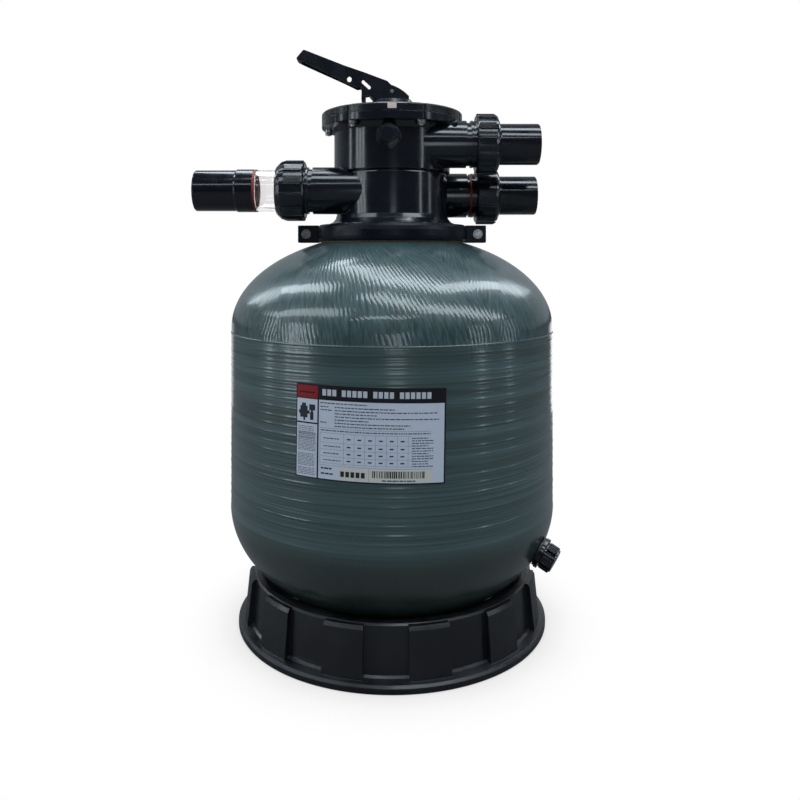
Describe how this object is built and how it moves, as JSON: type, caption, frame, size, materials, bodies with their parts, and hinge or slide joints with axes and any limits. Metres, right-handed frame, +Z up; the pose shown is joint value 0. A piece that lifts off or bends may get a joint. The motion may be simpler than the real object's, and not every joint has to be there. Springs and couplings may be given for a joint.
{
  "type": "sand filter tank",
  "caption": "Top-mount sand filter tank: wound fibreglass vessel on a ring pedestal, clamped multiport valve with selector handle, unions, sight glass and drain.",
  "frame": {"origin": "centre of the pedestal's underside, on the floor, below the tank's axis", "axes": "+Z up along the tank's axis; +X towards the pump and return outlets, -X towards the waste outlet and the tip of the handle; -Y faces the viewer, label side"},
  "size_m": [0.4405, 0.4005, 0.7075],
  "materials": {
    "black_plastic": "moulded, semi-gloss",
    "pedestal_plastic": "moulded, fine texture",
    "wound_fibreglass": "filament-wound glass fibre under clear resin",
    "label_film": "printed film, no lettering",
    "stainless": "bright",
    "black_rubber": "matt",
    "red_rubber": "satin",
    "clear_plastic": "clear",
    "light_plastic": "natural moulded",
    "filter_sand": "loose graded sand"
  },
  "bodies": {
    "filter": {"pedestal_base": "pedestal_plastic", "tank_shell": "wound_fibreglass", "neck_collar": "black_plastic", "rating_label": "label_film", "drain_gasket": "black_rubber", "drain_spigot": "black_plastic", "drain_back_nut": "black_plastic", "drain_screen": "light_plastic", "clamp_half_front": "black_plastic", "clamp_half_rear": "black_plastic", "clamp_bolts": "stainless", "clamp_nuts": "stainless", "tank_o_ring": "black_rubber", "lower_valve_body": "black_plastic", "upper_valve_body": "black_plastic", "body_seam_gasket": "black_plastic", "gauge_plug": "black_plastic", "valve_cover": "black_plastic", "cover_o_ring": "black_rubber", "cover_screws": "stainless", "cover_nuts": "stainless", "spider_gasket": "black_rubber", "pump_tail": "black_plastic", "return_tail": "black_plastic", "waste_tail": "black_plastic", "union_o_rings": "black_rubber", "return_collar_ring": "red_rubber", "sight_glass": "clear_plastic", "sight_glass_gasket": "red_rubber", "diffuser": "light_plastic", "standpipe": "light_plastic", "standpipe_seal": "black_rubber", "lateral_hub": "light_plastic", "laterals": "light_plastic", "sand_bed": "filter_sand"},
    "selector": {"handle_washer": "light_plastic", "rotor_spring": "stainless"},
    "diverter": {"diverter_rotor": "light_plastic", "spring_washers": "stainless", "shaft_o_rings": "black_rubber", "handle_pin": "stainless"},
    "handle": {"selector_handle": "black_plastic"},
    "drain_seal": {"drain_cap_seal": "black_rubber"},
    "drain_cap": {"drain_cap": "black_plastic"},
    "pump_nut": {"pump_union_nut": "black_plastic"},
    "return_nut": {"return_union_nut": "black_plastic"},
    "waste_nut": {"waste_union_nut": "black_plastic"}
  },
  "joints": [
    {"name": "selector_turn", "type": "hinge", "parent": "filter", "child": "selector", "pos_m": [0, 0, 0.645], "axis": [0, 0, 1], "continuous": true},
    {"name": "rotor_lift", "type": "slide", "parent": "selector", "child": "diverter", "axis": [0, 0, 1], "range_m": [0, 0.00601], "deforming": ["rotor_spring"]},
    {"name": "lever_press", "type": "hinge", "parent": "diverter", "child": "handle", "pos_m": [0, 0, 0.6565], "axis": [0, -1, 0], "range_deg": [0, 20]},
    {"name": "drain_cap_back", "type": "slide", "parent": "filter", "child": "drain_seal", "axis": [0.8034, -0.4093, -0.4325], "range_m": [0, 0.0076]},
    {"name": "drain_cap_turn", "type": "hinge", "parent": "drain_seal", "child": "drain_cap", "pos_m": [0.16966, -0.08644, 0.108], "axis": [0.8034, -0.4093, -0.4325], "range_deg": [0, 1080]},
    {"name": "pump_nut_turn", "type": "hinge", "parent": "filter", "child": "pump_nut", "pos_m": [0.116, -0.034, 0.5855], "axis": [1, 0, 0], "continuous": true},
    {"name": "return_nut_turn", "type": "hinge", "parent": "filter", "child": "return_nut", "pos_m": [0.12, 0.027, 0.5275], "axis": [1, 0, 0], "continuous": true},
    {"name": "waste_nut_turn", "type": "hinge", "parent": "filter", "child": "waste_nut", "pos_m": [-0.1235, -0.031, 0.529], "axis": [-1, 0, 0], "continuous": true}
  ],
  "couplings": [
    {"joint": "rotor_lift", "follows": "lever_press", "m_per_rad": 0.017189},
    {"joint": "drain_cap_back", "follows": "drain_cap_turn", "m_per_rad": 0.00039789}
  ]
}
